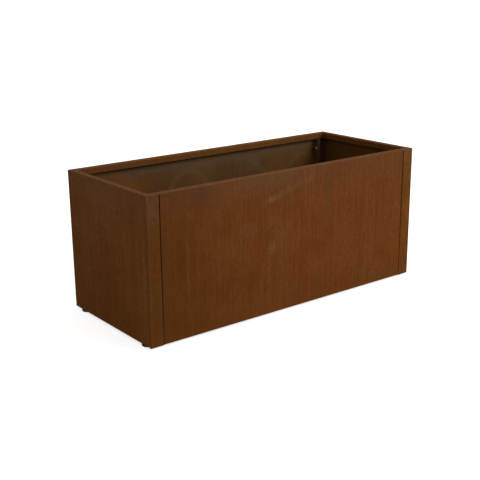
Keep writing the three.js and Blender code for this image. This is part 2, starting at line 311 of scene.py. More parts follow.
streaks, clouds, grit, edgeBands = makeStreaks(), makeClouds(), makeGrit(), makeEdgeBands()
ringMark, softPatch, dust = makeRingMark(), makePatch(), makeDust()
seamGrimeAndShade, rimMitre = makeSeamGrimeAndShade(), makeMitre()
print("shared effects made")


def newMaterial(name, gloss):
    material = bpy.data.materials.new(name)
    material.use_nodes = True
    tree = material.node_tree
    surface = tree.nodes["Principled BSDF"]
    surface.inputs["Specular IOR Level"].default_value = gloss
    place = addNode(tree, "ShaderNodeTexCoord").outputs["Object"]
    return material, tree, surface, place


def effectAt(tree, group, place, **inputs):
    return addNode(tree, "ShaderNodeGroup", {"Vector": place, **inputs}, node_tree=group).outputs


def maskAt(tree, group, place, **inputs):
    return effectAt(tree, group, place, **inputs)["Mask"]


# colours laid over one another, each through a mask and with a strength of its own
def layered(tree, colour, layers):
    for mask, amount, tint in layers:
        colour = blendColour(tree, times(tree, mask, amount), colour, tint)
    return colour


def coverSurface(tree, surface, colour, roughness, relief, depth):
    bump = addNode(tree, "ShaderNodeBump", {"Height": relief, "Distance": depth, "Strength": 1.0})
    feed(tree, surface.inputs["Base Color"], colour)
    feed(tree, surface.inputs["Roughness"], roughness)
    feed(tree, surface.inputs["Normal"], bump.outputs[0])


# soft patches on one long face, each by its place, its reach, its colour and its amount
def onLongFace(y, *patches, depth=0.02):
    return [((x, y, z), (wide, depth, tall), colour, amount)
            for (x, z), (wide, tall), colour, amount in patches]


longRust = {
    "name": "longPanelRust",
    "body": tone(102, 56, 19), "warm": tone(107, 55, 17), "olive": tone(99, 61, 25),
    "dark": tone(76, 39, 9), "light": tone(112, 70, 37),
    # rim: a paler band on top of the rim, painted sheen
    "upper": tone(94, 61, 39), "lower": tone(109, 56, 10), "rim": tone(115, 79, 47),
    # grime: dark grime and painted shade in the seam grooves, also the dark mitre weld line
    "grimeAndShade": tone(38, 19, 7),
    "oliveAmount": 0.4, "darkStreaks": 0.44, "lightStreaks": 0.32, "speckleAmount": 0.3, "gritAmount": 0.24,
    "upperAmount": 0.55, "lowerAmount": 0.35, "rimSheenAmount": 0.65, "groundAmount": 0.35, "mitreAmount": 0.8,
    "roughness": (0.66, 0.88), "gloss": 0.03, "streakRelief": 0.35, "bumpDepth": 0.0003, "mitred": False,
    "rings": [  # amount, where and how wide
        (0.28, {"Centre": (0.235, -0.25, -0.56), "Radius": 1.035, "Width": 0.02, "From": -0.4, "To": -0.13}),
        (0.13, {"Centre": (0.35, -0.25, -0.2), "Radius": 0.632, "Width": 0.03, "From": -0.5, "To": -0.3}),
        (0.25, {"Centre": (-0.2, 0.25, -0.7), "Radius": 1.06, "Width": 0.018, "From": -0.1, "To": 0.3}),
    ],
    "ringColour": tone(120, 86, 54),
    "patches": [
        # painted shade: the left part of the front face is darker, where the key light falls off
        *onLongFace(-0.25, ((-0.66, 0.22), (0.62, 0.8), tone(76, 42, 13), 0.62), depth=0.03),
        *onLongFace(
            -0.25,
            ((-0.4, 0.49), (0.13, 0.09), tone(74, 44, 30), 0.46),
            ((-0.1, 0.5), (0.32, 0.09), tone(98, 70, 44), 0.44),
            ((-0.195, 0.327), (0.06, 0.045), tone(110, 76, 48), 0.35),
            ((-0.098, 0.245), (0.03, 0.028), tone(122, 78, 44), 0.32),
            ((-0.1, 0.418), (0.05, 0.016), tone(118, 84, 50), 0.4),
            ((0.16, 0.4), (0.032, 0.13), tone(84, 58, 28), 0.42),
            ((-0.45, 0.24), (0.008, 0.2), tone(112, 72, 38), 0.3),
            ((-0.345, 0.19), (0.008, 0.2), tone(108, 68, 32), 0.28),
            ((-0.114, 0.13), (0.01, 0.15), tone(108, 72, 42), 0.32),
            ((0.085, 0.48), (0.02, 0.03), tone(116, 80, 48), 0.35),
            ((0.17, 0.15), (0.01, 0.17), tone(112, 70, 34), 0.28),
            ((0.386, 0.15), (0.01, 0.07), tone(124, 66, 20), 0.45),
            ((0.495, 0.17), (0.016, 0.09), tone(122, 60, 18), 0.45),
            ((0.46, 0.03), (0.1, 0.06), tone(84, 58, 32), 0.4)),
        *onLongFace(
            0.25,
            ((0.1, 0.3), (0.16, 0.12), tone(86, 56, 32), 0.4),
            ((-0.33, 0.2), (0.012, 0.2), tone(112, 70, 36), 0.4),
            ((0.42, 0.24), (0.03, 0.2), tone(80, 50, 22), 0.5)),
        *onLongFace(0.225, ((0, 0.495), (1.2, 0.04), tone(114, 74, 31), 0.6), depth=0.012),
    ],
}

endRust = dict(
    longRust, name="endPanelRust",
    body=tone(101, 59, 19), warm=tone(104, 57, 15), olive=tone(97, 63, 25), light=tone(115, 74, 35),
    upper=tone(98, 66, 42), lower=tone(114, 62, 8), lowerAmount=0.5,
    darkStreaks=0.42, lightStreaks=0.3, speckleAmount=0.44, mitred=True, rings=[],
    patches=[  # place, reach each way, colour, amount
        ((-0.6, 0.0, 0.43), (0.02, 0.24, 0.14), tone(106, 70, 38), 0.5),
        ((-0.6, 0.12, 0.5), (0.02, 0.025, 0.02), tone(88, 66, 52), 0.5),
        # painted shade: the back half of the left end is darker, as the key light falls off towards the back
        ((-0.6, 0.3, 0.15), (0.02, 0.28, 0.6), tone(86, 50, 5), 0.55),
        ((-0.6, 0.0, -0.02), (0.02, 0.5, 0.3), tone(96, 52, 2), 0.6),
        # painted shade: darker still along the left end's back corner
        ((-0.6, 0.25, 0.25), (0.25, 0.012, 0.8), tone(60, 35, 8), 0.6),
        # painted shade: the left end's strip on the front face is darker with it
        ((-0.6, -0.25, 0.25), (0.25, 0.006, 0.8), tone(78, 45, 17), 0.62),
        ((-0.58, -0.25, 0.48), (0.1, 0.006, 0.12), tone(90, 64, 44), 0.42),
        # painted light: a lighter strip near the front of the left end
        ((-0.6, -0.21, 0.25), (0.02, 0.06, 0.7), tone(106, 63, 24), 0.35),
        ((-0.6, -0.228, 0.2), (0.02, 0.008, 0.3), tone(122, 82, 46), 0.4),
        ((0.58, -0.25, 0.28), (0.02, 0.02, 0.1), tone(124, 68, 14), 0.45),
        ((0.58, -0.25, 0.02), (0.1, 0.02, 0.08), tone(90, 62, 34), 0.5),
        ((0.58, -0.25, 0.48), (0.1, 0.02, 0.12), tone(102, 73, 38), 0.5),
        ((0.6, -0.08, 0.4), (0.02, 0.14, 0.1), tone(90, 60, 40), 0.45),
        ((0.6, 0.15, 0.2), (0.02, 0.012, 0.2), tone(114, 72, 36), 0.4),
        ((0.6, -0.16, 0.16), (0.02, 0.05, 0.16), tone(78, 45, 16), 0.45),
        ((0.575, 0, 0.495), (0.012, 0.5, 0.04), tone(106, 63, 12), 0.5),
    ])

insideRust = dict(
    longRust, name="insideRust",
    body=tone(92, 61, 33), warm=tone(98, 60, 27), olive=tone(86, 63, 36), dark=tone(62, 42, 21),
    # upper on the inner walls: lighter and greyer under the rim, partly the wall's own colour, partly painted
    # light against the rim's shade
    light=tone(100, 75, 48), upper=tone(100, 82, 62), lower=tone(84, 50, 22), rimSheenAmount=0.0,
    darkStreaks=0.22, lightStreaks=0.16, speckleAmount=0.14, upperAmount=0.7, lowerAmount=0.3, gloss=0.04,
    rings=[
        (0.36, {"Centre": (-0.093, 0.248, 0.345), "Radius": 0.088, "Width": 0.022}),
        (0.3, {"Centre": (0.172, 0.248, 0.328), "Radius": 0.112, "Width": 0.022, "From": -0.05}),
        (0.24, {"Centre": (0.495, 0.248, 0.313), "Radius": 0.113, "Width": 0.024, "To": 0.05}),
        (0.2, {"Centre": (-0.2, -0.248, 0.3), "Radius": 0.1, "Width": 0.022}),
        (0.2, {"Centre": (0.31, -0.248, 0.25), "Radius": 0.11, "Width": 0.022}),
    ],
    ringColour=tone(106, 92, 70),
    patches=[
        *onLongFace(
            0.248,
            ((0.112, 0.42), (0.006, 0.07), tone(46, 34, 20), 0.5),
            ((-0.36, 0.39), (0.12, 0.1), tone(140, 80, 20), 0.5),
            ((-0.04, 0.41), (0.08, 0.09), tone(120, 84, 52), 0.25),
            ((0.09, 0.42), (0.03, 0.12), tone(76, 66, 46), 0.4),
            ((0.22, 0.43), (0.09, 0.08), tone(94, 72, 56), 0.35),
            ((-0.3, 0.48), (0.22, 0.05), tone(84, 70, 54), 0.4),
            ((-0.5, 0.44), (0.18, 0.2), tone(128, 74, 22), 0.66),
            ((0.35, 0.4), (0.09, 0.13), tone(108, 68, 30), 0.55),
            ((0.5, 0.4), (0.09, 0.16), tone(110, 66, 26), 0.55),
            ((0.45, 0.47), (0.05, 0.04), tone(92, 76, 58), 0.35),
            # painted light: a lighter band just under the back rim, against the shade the rim casts
            ((0, 0.485), (1.2, 0.06), tone(122, 98, 74), 0.24)),
        ((0.598, 0.05, 0.45), (0.02, 0.5, 0.2), tone(92, 54, 9), 0.72),
    ])


def rustedSteel(look):
    material, tree, surface, place = newMaterial(look["name"], look["gloss"])
    fine = maskAt(tree, streaks, place, PerMetre=260, Drop=0.02)
    broad = maskAt(tree, streaks, place, PerMetre=60, Drop=0.02, Breaks=0.6)
    bands = effectAt(tree, edgeBands, place)
    grains = effectAt(tree, grit, place, Scale=620)
    speckle = maskAt(tree, clouds, place, Scale=190.0, Tall=3.0, Low=0.45, High=0.6)
    layers = [
        (maskAt(tree, clouds, place, Scale=5.0, Tall=2.2), 1, look["warm"]),
        (maskAt(tree, clouds, place, Scale=17.0, Tall=3.5), look["oliveAmount"], look["olive"]),
        (fine, look["darkStreaks"], look["dark"]),
        (minus(tree, 1.0, broad), look["lightStreaks"], look["light"]),
        (bands["Upper"], look["upperAmount"], look["upper"]),
        (bands["Lower"], look["lowerAmount"], look["lower"]),
    ]
    for centre, reach, colour, amount in look["patches"]:
        layers.append((maskAt(tree, softPatch, place, Centre=centre, Reach=reach), amount, colour))
    for amount, ring in look["rings"]:
        layers.append((maskAt(tree, ringMark, place, **ring), amount, look["ringColour"]))
    layers += [
        # painted sheen on top of the rim
        (bands["Rim"], look["rimSheenAmount"], look["rim"]),
        (speckle, look["speckleAmount"], look["dark"]),
        (grains["Mask"], look["gritAmount"], look["dark"]),
        # grime and painted shade in the seam grooves
        (maskAt(tree, seamGrimeAndShade, place), 1, look["grimeAndShade"]),
    ]
    relief = calc(tree, "MULTIPLY_ADD", fine, look["streakRelief"], grains["Height"])
    if look["mitred"]:
        mitre = effectAt(tree, rimMitre, place)
        layers += [(mitre["Ground"], look["groundAmount"], look["light"]),
                   (mitre["Line"], look["mitreAmount"], look["grimeAndShade"])]
        relief = minus(tree, relief, mitre["Line"])
    dry = times(tree, plus(tree, fine, grains["Mask"]), 0.5)
    roughness = spread(tree, dry, 0.0, 1.0, *look["roughness"], smooth=False)
    coverSurface(tree, surface, layered(tree, look["body"], layers), roughness, relief, look["bumpDepth"])
    return material


longPanelRust, endPanelRust, insidePanelRust = (rustedSteel(look) for look in (longRust, endRust, insideRust))

floorSteel = {
    "body": tone(74, 54, 34), "brown": tone(88, 54, 27), "scale": tone(58, 50, 43),
    "stain": tone(36, 25, 16), "wet": tone(104, 58, 22),
    "scaleAmount": 0.5, "wetAmount": 0.75, "stainAmount": 0.8, "gritAmount": 0.4,
    "bay": 0.3333, "column": 0.06, "row": 0.12,  # how the drain holes lie
    "roughness": (0.6, 0.85), "gloss": 0.1, "bumpDepth": 0.0003,
}


# how near a point is to a drain hole, from 1 at its edge to 0
def makeDrainStain():
    tree, given = newEffect("drainStain", Bay=0.3333, Column=0.06, Row=0.12, Reach=0.045)
    x, y, _ = splitUp(tree, given["Vector"])
    bay = calc(tree, "ROUND", calc(tree, "DIVIDE", x, given["Bay"]))
    inBay = minus(tree, x, times(tree, bay, given["Bay"]))
    fromColumn = minus(tree, absolute(tree, inBay), given["Column"])
    row = calc(tree, "ROUND", calc(tree, "DIVIDE", y, given["Row"]))
    row = calc(tree, "MAXIMUM", calc(tree, "MINIMUM", row, 1.0), -1.0)
    fromRow = minus(tree, y, times(tree, row, given["Row"]))
    ragged = calc(tree, "MULTIPLY_ADD", noise(tree, given["Vector"], 40.0, 4.0, 0.6), 1.2, 0.4)
    away = lengthOf(tree, pointAt(tree, fromColumn, fromRow))
    return withResult(tree, Mask=spread(tree, away, times(tree, given["Reach"], ragged), 0.006))


drainStain = makeDrainStain()


def drainedSteel(look):
    material, tree, surface, place = newMaterial("floorSteel", look["gloss"])
    stain = maskAt(tree, drainStain, place, Bay=look["bay"], Column=look["column"], Row=look["row"])
    grains = effectAt(tree, grit, place, Scale=480)
    colour = layered(tree, look["body"], [
        (maskAt(tree, clouds, place, Scale=6.0), 1, look["brown"]),
        (maskAt(tree, clouds, place, Scale=28.0), look["scaleAmount"], look["scale"]),
        (stain, look["wetAmount"], look["wet"]),
        (spread(tree, stain, 0.6, 1.0), look["stainAmount"], look["stain"]),
        (grains["Mask"], look["gritAmount"], look["stain"]),
    ])
    roughness = spread(tree, grains["Mask"], 0.0, 1.0, *look["roughness"], smooth=False)
    coverSurface(tree, surface, colour, roughness, grains["Height"], look["bumpDepth"])
    return material


floorPlateSteel = drainedSteel(floorSteel)

zinc = {
    "bright": tone(168, 152, 126), "dull": tone(128, 110, 86), "rust": tone(112, 66, 30),
    "speckLow": 0.56, "speckHigh": 0.72, "rustAmount": 0.8,
    "metal": (0.85, 0.1),  # where clean, where rusted
    "roughness": (0.36, 0.75), "gloss": 0.5, "bumpDepth": 0.00008,
}


def zincSteel(look):
    material, tree, surface, place = newMaterial("zincSteel", look["gloss"])
    wide = maskAt(tree, clouds, place, Scale=90.0)
    speck = maskAt(tree, clouds, place, Scale=210.0, Low=look["speckLow"], High=look["speckHigh"])
    grains = effectAt(tree, grit, place, Scale=900)
    colour = layered(tree, look["bright"], [
        (wide, 1, look["dull"]),
        (speck, look["rustAmount"], look["rust"]),
    ])
    feed(tree, surface.inputs["Metallic"], spread(tree, speck, 0.0, 1.0, *look["metal"]))
    roughness = spread(tree, plus(tree, wide, speck), 0.0, 2.0, *look["roughness"])
    coverSurface(tree, surface, colour, roughness, grains["Height"], look["bumpDepth"])
    return material


zincPlated = zincSteel(zinc)

plastic = {
    "body": tone(11, 10, 10), "worn": tone(20, 19, 18), "dust": tone(86, 70, 52),
    "wornAmount": 0.5, "dustAmount": 0.2, "roughness": (0.55, 0.85), "gloss": 0.14, "bumpDepth": 0.00005,
}


def mouldedPlastic(look):
    material, tree, surface, place = newMaterial("padPlastic", look["gloss"])
    wide = maskAt(tree, clouds, place, Scale=70.0)
    normal = addNode(tree, "ShaderNodeNewGeometry").outputs["Normal"]
    settled = maskAt(tree, dust, place, Normal=normal, Scale=140, Amount=look["dustAmount"])
    grains = effectAt(tree, grit, place, Scale=1400)
    colour = layered(tree, look["body"], [
        (wide, look["wornAmount"], look["worn"]),
        (settled, 1, look["dust"]),
    ])
    roughness = spread(tree, settled, 0.0, 0.5, *look["roughness"])
    coverSurface(tree, surface, colour, roughness, grains["Height"], look["bumpDepth"])
    return material


padPlastic = mouldedPlastic(plastic)
print("finishes mixed")

studio = {
    "keyAzimuth": 34,  # towards the right of the front
    "keyElevation": 33,
    "keyDistance": 5.0,
    "keyAim": (0.1, 0, 0.25),
    "keyWidth": 2.2,
    "keyPower": 142,
    "skyStrength": 0.56,
    "floorWidth": 400,
    "floorColour": tone(238, 237, 235),
    "floorShade": 0.97,  # how dark the floor's specks are, as a part of its colour
    "floorLift": 0.68,  # brings the floor up to white where it is seen
    "shadedLength": (0.585, 0.565),  # half the patch of floor under the box, which stays dark
    "shadedWidth": (0.235, 0.215),
    "floorGloss": 0.2,
    "floorRoughness": 0.9,
}


def makeSky(look):
    world = bpy.data.worlds.new("studioSky")
    world.use_nodes = True
    scene.world = world
    sky = world.node_tree.nodes["Background"]
    sky.inputs["Color"].default_value = (1, 1, 1, 1)
    seen = addNode(world.node_tree, "ShaderNodeLightPath").outputs["Is Camera Ray"]
    feed(world.node_tree, sky.inputs["Strength"],
         spread(world.node_tree, seen, 0.0, 1.0, look["skyStrength"], 1.0, smooth=False))


def makeKeyLight(look):
    key = bpy.data.objects.new("keyLight", bpy.data.lights.new("keyLight", "AREA"))
    key.data.energy = look["keyPower"]
    key.data.size = look["keyWidth"]
    turn = Matrix.Rotation(math.radians(look["keyAzimuth"]), 4, "Z")
    turn = turn @ Matrix.Rotation(math.radians(90 - look["keyElevation"]), 4, "X")
    away = Matrix.Translation((0, 0, look["keyDistance"]))
    key.matrix_world = Matrix.Translation(look["keyAim"]) @ turn @ away
    scene.collection.objects.link(key)


def floorFinish(look):
    material, tree, surface, place = newMaterial("studioFloor", look["floorGloss"])
    speckle = spread(tree, noise(tree, place, 40.0, 3.0), 0.3, 0.7)
    shade = tuple(look["floorShade"] * value for value in look["floorColour"][:3]) + (1,)
    feed(tree, surface.inputs["Base Color"], blendColour(tree, speckle, shade, look["floorColour"]))
    surface.inputs["Roughness"].default_value = look["floorRoughness"]
    path = addNode(tree, "ShaderNodeLightPath").outputs
    seen = calc(tree, "MAXIMUM", path["Is Camera Ray"], path["Is Glossy Ray"])
    x, y, _ = splitUp(tree, place)
    underneath = times(tree, spread(tree, absolute(tree, x), *look["shadedLength"]),
                       spread(tree, absolute(tree, y), *look["shadedWidth"]))
    lift = spread(tree, underneath, 0.0, 1.0, look["floorLift"], 0.0, smooth=False)
    surface.inputs["Emission Color"].default_value = (1, 1, 1, 1)
    feed(tree, surface.inputs["Emission Strength"], times(tree, seen, lift))
    return material


def makeStudio(look):
    makeSky(look)
    makeKeyLight(look)
    half = look["floorWidth"] / 2
    mesh = bpy.data.meshes.new("studioFloor")
    points = [(-half, -half, 0), (half, -half, 0), (half, half, 0), (-half, half, 0)]
    mesh.from_pydata(points, [], [(0, 1, 2, 3)])
    floor = bpy.data.objects.new("studioFloor", mesh)
    scene.collection.objects.link(floor)
    floor.data.materials.append(floorFinish(look))


makeStudio(studio)
print("studio lit")

mergeWithin = 1e-4


def newObject(name, points, skin):
    mesh = bpy.data.meshes.new(name)
    mesh.from_pydata(points, [], skin)
    work = bmesh.new()
    work.from_mesh(mesh)
    bmesh.ops.remove_doubles(work, verts=work.verts, dist=mergeWithin)
    bmesh.ops.recalc_face_normals(work, faces=work.faces)
    work.to_mesh(mesh)
    work.free()
    made = bpy.data.objects.new(name, mesh)
    scene.collection.objects.link(made)
    return made


# puts what the modifiers make into the mesh
def bake(piece):
    bpy.context.view_layer.update()
    graph = bpy.context.evaluated_depsgraph_get()
    mesh = bpy.data.meshes.new_from_object(piece.evaluated_get(graph), preserve_all_data_layers=True,
                                           depsgraph=graph)
    piece.modifiers.clear()
    piece.data = mesh


def runTree(piece, tree, **values):
    modifier = piece.modifiers.new(tree.name, "NODES")
    modifier.node_group = tree
    sockets = {item.name: item.identifier for item in tree.interface.items_tree
               if item.item_type == "SOCKET" and item.in_out == "INPUT"}
    for label, value in values.items():
        modifier[sockets[label]] = value
    bake(piece)
    return piece


def combine(piece, tool, operation):
    modifier = piece.modifiers.new("combine", "BOOLEAN")
    modifier.solver = "MANIFOLD"
    modifier.operation = operation
    modifier.object = tool
    bake(piece)
    bpy.data.objects.remove(tool)
    return piece


# an outline drawn out along one axis
def prism(outline, axis, low, high):
    first, second = [number for number in range(3) if number != axis]
    points = []
    for level in (low, high):
        for corner in outline:
            point = [0, 0, 0]
            point[first], point[second], point[axis] = corner[0], corner[1], level
            points.append(point)
    count = len(outline)
    skin = [tuple(range(count)), tuple(range(count, 2 * count))]
    skin += [(i, (i + 1) % count, count + (i + 1) % count, count + i) for i in range(count)]
    return newObject("prism", points, skin)


def rectangle(x0, y0, x1, y1):
    return [(x0, y0), (x1, y0), (x1, y1), (x0, y1)]


def block(x0, x1, y0, y1, z0, z1):
    return prism(rectangle(x0, y0, x1, y1), up, z0, z1)


def circle(radius, count, middle=(0, 0)):
    turns = [2 * math.pi * i / count for i in range(count)]
    return [(middle[0] + radius * math.cos(t), middle[1] + radius * math.sin(t)) for t in turns]


def joined(pieces):
    first, *others = pieces
    work = bmesh.new()
    for piece in pieces:
        work.from_mesh(piece.data)
    work.to_mesh(first.data)
    work.free()
    for piece in others:
        bpy.data.objects.remove(piece)
    return first


def cut(piece, tools):
    return combine(piece, joined(tools), "DIFFERENCE")


# A round piece about an axis. Each ring gives a radius and a level, either of which may be a function of
# the turn. The ends are capped, or the last ring meets the first where looped.
def turned(rings, axis, around, looped=False):
    points = []
    for radius, level in rings:
        for i in range(around):
            turn = 2 * math.pi * i / around
            r = radius(turn) if callable(radius) else radius
            height = level(turn) if callable(level) else level
            point = (r * math.cos(turn), r * math.sin(turn))
            points.append((*point, height) if axis == up else (height, *point))
    count = len(rings)
    skin = [(k * around + i, k * around + (i + 1) % around, (k + 1) % count * around + (i + 1) % around,
             (k + 1) % count * around + i)
            for k in range(count if looped else count - 1) for i in range(around)]
    if not looped:
        skin += [tuple(range(around)), tuple(range((count - 1) * around, count * around))]
    return newObject("turned", points, skin)


weld = {
    "stepsPerRipple": 6,
    "around": 14,
    "rippleHeight": 0.07,  # as a part of the radius
    "bluntness": 4,  # of the ends
    "tip": 0.02,  # keeps the ends from closing to a point
}


# a rippled bead of weld along x, about a middle
def weldBead(length, radius, ripples, middle):
    steps = weld["stepsPerRipple"] * ripples
    rings = []
    for step in range(steps + 1):
        fromMiddle = 2 * step / steps - 1
        ripple = 1 + weld["rippleHeight"] * math.cos(math.pi * ripples * fromMiddle)
        body = max(1 - fromMiddle ** weld["bluntness"], weld["tip"]) ** 0.5
        rings.append((radius * ripple * body, fromMiddle * length / 2))
    bead = turned(rings, along, weld["around"])
    bead.data.transform(Matrix.Translation(middle))
    return bead


# the reach of a hexagon at a turn, with a corner at no turn
def hexReach(acrossFlats):
    sector = math.pi / 3
    return lambda turn: acrossFlats / 2 / math.cos(turn % sector - sector / 2)


# the two rings that chamfer a hexagon's end, from the flat circle to the cut corners
def hexEnd(acrossFlats, level, inward, flatPart=0.94, chamfer=math.radians(30)):
    reach = hexReach(acrossFlats)
    flat = flatPart * acrossFlats / 2
    return [(flat, level), (reach, lambda turn: level + inward * (reach(turn) - flat) * math.tan(chamfer))]


thread = {
    "depth": 0.61,  # as a part of the pitch
    "flankFoot": 0.78,  # from the crest's middle, as a part of half the pitch
    "flankWidth": 0.62,  # as a part of half the pitch
    "ringsPerPitch": 6,
    "endDrop": 0.1,  # how far the end is cut below the root
}


# rings of a right-hand thread from low to high, with its end cut back at high
def threadRings(diameter, pitch, low, high):
    depth = thread["depth"] * pitch
    root = diameter / 2 - depth
    count = math.ceil((high - low) / pitch * thread["ringsPerPitch"])

    def radiusAt(level):
        def radius(turn):
            swing = abs(2 * ((level / pitch - turn / (2 * math.pi)) % 1) - 1)
            crest = min(max((thread["flankFoot"] - swing) / thread["flankWidth"], 0), 1)
            return min(root + crest * depth, root - thread["endDrop"] + high - level)
        return radius

    levels = [low + (high - low) * step / count for step in range(count + 1)]
    return [(radiusAt(level), level) for level in levels]


# shades bends smooth and flats flat
def shadeBends(piece, sharpest=40):
    piece.data.shade_smooth()
    piece.data.set_sharp_from_angle(angle=math.radians(sharpest))
    weigh = piece.modifiers.new("flatFaces", "WEIGHTED_NORMAL")
    weigh.keep_sharp = True
    weigh.weight = 100
    bake(piece)


# rounds sharp edges, then shades the piece
def softenEdges(piece, width, sharpest=50, flat=0.5):
    work = bmesh.new()
    work.from_mesh(piece.data)
    bmesh.ops.remove_doubles(work, verts=work.verts, dist=mergeWithin)
    bmesh.ops.dissolve_limit(work, angle_limit=math.radians(flat), verts=work.verts, edges=work.edges)
    work.to_mesh(piece.data)
    work.free()
    bevel = piece.modifiers.new("cutEdges", "BEVEL")
    bevel.width = width
    bevel.segments = 2
    bevel.limit_method = "ANGLE"
    bevel.angle_limit = math.radians(sharpest)
    bake(piece)
    shadeBends(piece)


def finishPiece(piece, name, body, nodes):
    piece.name = name
    piece.data.name = name
    piece.data.transform(Matrix.Scale(mm, 4))
    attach(piece, body)
    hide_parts(*nodes)
    print("made", name, len(piece.data.polygons), "faces")


def duplicate(piece, place):
    copy = piece.copy()
    copy.data = piece.data.copy()
    copy.data.transform(place)
    scene.collection.objects.link(copy)
    return copy


def setMaterial(piece, material):
    piece.data.materials.clear()
    piece.data.materials.append(material)


fold = {
    "sheet": 2,
    "innerBend": 1.5,
    "bendSteps": 8,
    "relief": 1,  # notch that frees a fold from its neighbour
    "rimWidth": 25,
    "lipDepth": 22,
    "legDepth": 35,
    "longFlange": 30,
    "endFlange": 50,
    "boltHole": 9,
    "footHole": 12,
    "holeSides": 48,
    "cutRound": 0.22,
    "weldRadius": 1.6,  # bead that closes each end of the end flange
    "weldOverrun": 1.5,  # into the corner
    "weldShort": 2.5,  # of the seam
    "weldRipples": 20,
}

endLow, endHigh = boxOf("left_end_panel")
frontLow, frontHigh = boxOf("front_panel")
endFace, wrapEdge = -endLow.x, -endHigh.x
longFace, longEdge = -frontLow.y, frontHigh.x
bottom, top = frontLow.z, frontHigh.z
sheet, relief = fold["sheet"], fold["relief"]
outerBend = fold["innerBend"] + sheet
foldBottom = bottom + outerBend + relief
foldTop = top - outerBend - relief
far = 2 * endFace
boltMiddles = [middleOf(f"seam_bolt_front_right_{i}") for i in (1, 2, 3)]
boltInset = longFace + boltMiddles[0].y
footMiddle = middleOf("foot_stud_back_right")


def directionsAt(line, i):
    arriving = (line[i] - line[i - 1]).normalized()
    leaving = (line[(i + 1) % len(line)] - line[i]).normalized()
    return arriving, leaving


def leftOf(direction):
    return Vector((-direction.y, direction.x))


def roundedCorner(line, i, radius):
    arriving, leaving = directionsAt(line, i)
    turn = math.atan2(arriving.cross(leaving), arriving.dot(leaving))
    start = line[i] - arriving * radius * math.tan(abs(turn) / 2)
    centre = start + leftOf(arriving) * math.copysign(radius, turn)
    steps = fold["bendSteps"]
    return [centre + Matrix.Rotation(turn * step / steps, 2) @ (start - centre) for step in range(steps + 1)]


# the cross-section of a folded sheet that lies to the left of a line along its face
def foldedSection(*line):
    line = [Vector(corner) for corner in line]
    last = len(line) - 1
    offset = []
    for i, corner in enumerate(line):
        arriving, leaving = directionsAt(line, i)
        before = leftOf(leaving if i == 0 else arriving)
        after = leftOf(arriving if i == last else leaving)
        offset.append(corner + (before + after) * sheet / (1 + before.dot(after)))
    face, back = [line[0]], [offset[0]]
    for i in range(1, last):
        arriving, leaving = directionsAt(line, i)
        turnsLeft = arriving.cross(leaving) > 0
        face += roundedCorner(line, i, outerBend if turnsLeft else fold["innerBend"])
        back += roundedCorner(offset, i, fold["innerBend"] if turnsLeft else outerBend)
    return face + [line[last]] + [*back, offset[last]][::-1]


# the rim's section carried once round the box with mitred corners
def rimRing():
    section = foldedSection((fold["rimWidth"], top - fold["lipDepth"]), (fold["rimWidth"], top),
                            (0, top), (0, foldTop - relief))
    count = len(section)
    square = rectangle(-1, -1, 1, 1)
    points, skin = [], []
    for number, (endSign, sideSign) in enumerate(square):
        here, there = number * count, (number + 1) % 4 * count
        for i, (inward, level) in enumerate(section):
            points.append((endSign * (endFace - inward), sideSign * (longFace - inward), level))
            following = (i + 1) % count
            skin.append((here + i, there + i, there + following, here + following))
    outline = [Vector((x * endFace, y * longFace)) for x, y in square]
    plan = [point for i in range(4) for point in roundedCorner(outline, i, outerBend)]
    return combine(newObject("rim", points, skin), prism(plan, up, bottom, top + relief), "INTERSECT")


# the tools that notch a return leg round the lip and drill it for the seam bolts
def legTools(middle, side):
    x0, x1 = middle - sheet / 2 - relief, middle + sheet / 2 + relief
    freeEdge = side * (longFace - fold["legDepth"] - relief)
    lipFace = side * (longFace - fold["rimWidth"] + sheet + relief)
    tools = [block(x0, x1, freeEdge, lipFace, top - fold["lipDepth"] - relief, top)]
    for bolt in boltMiddles:
        hole = circle(fold["boltHole"] / 2, fold["holeSides"], (side * (longFace - boltInset), bolt.z))
        tools.append(prism(hole, along, x0, x1))
    return tools


# the space beside a seam that the rim and the flange leave to the upright fold
def seamRelief(edge, side):
    inside = edge - math.copysign(outerBend, edge)
    outside = edge + math.copysign(relief, edge)
    y0, y1 = side * (longFace + relief), side * (longFace - outerBend)
    return block(inside, outside, y0, y1, bottom + outerBend, top - outerBend)


# cuts a panel's wall and its edges free of one another at each seam, then joins them
def meetAtSeams(wall, edges, legs, seams):
    wall = cut(wall, [tool for leg in legs for tool in legTools(*leg)])
    edges = cut(joined(edges), [seamRelief(*seam) for seam in seams])
    return combine(edges, wall, "UNION")


def frontPanel():
    wall = prism(foldedSection((-longEdge, -longFace + fold["legDepth"]), (-longEdge, -longFace),
                               (longEdge, -longFace), (longEdge, -longFace + fold["legDepth"])),
                 up, foldBottom, foldTop)
    flange = prism(foldedSection((-longFace, foldBottom + relief), (-longFace, bottom),
                                 (-longFace + fold["longFlange"], bottom)), along, -longEdge, longEdge)
    rim = combine(rimRing(), block(-longEdge, longEdge, -far, 0, 0, far), "INTERSECT")
    legs = [(end * (longEdge - sheet / 2), -1) for end in sides]
    return meetAtSeams(wall, [rim, flange], legs, [(end * longEdge, -1) for end in sides])


